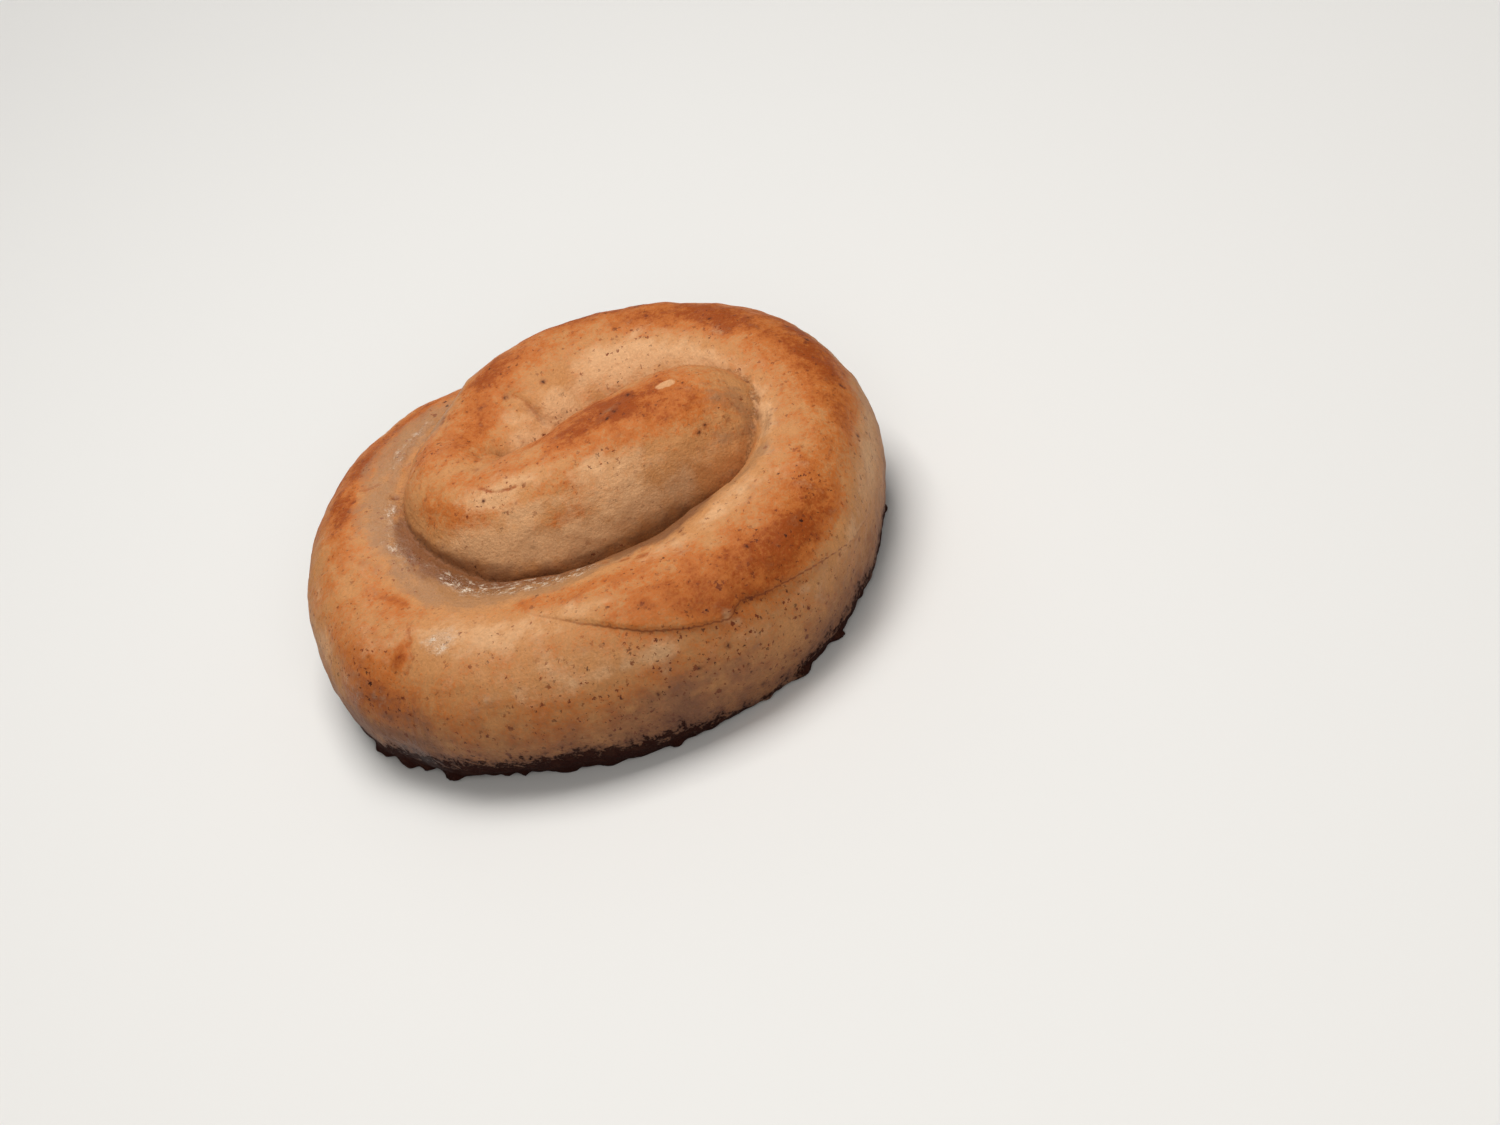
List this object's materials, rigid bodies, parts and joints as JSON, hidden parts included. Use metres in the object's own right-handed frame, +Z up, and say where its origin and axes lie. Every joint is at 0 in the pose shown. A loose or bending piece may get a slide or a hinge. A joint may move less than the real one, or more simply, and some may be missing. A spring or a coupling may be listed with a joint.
{
  "type": "coiled filled filo pastry",
  "caption": "Round coiled filo pastry: a filled roll wound into a snail with its inner end folded into the middle, baked golden brown, with a burnt foot.",
  "frame": {"origin": "under the middle of the coil, on the plane that the pastry rests on", "axes": "+Z up, out of the browned top; -Y towards the side the picture shows in front; +X to the right, where the inner end of the roll points"},
  "size_m": [0.1406, 0.1307, 0.0476],
  "materials": {
    "crust": "satin, slightly oily baked crust, browned on the crests, pale in the folds and burnt at the foot"
  },
  "bodies": {
    "root": {"burek": "crust"}
  },
  "joints": []
}
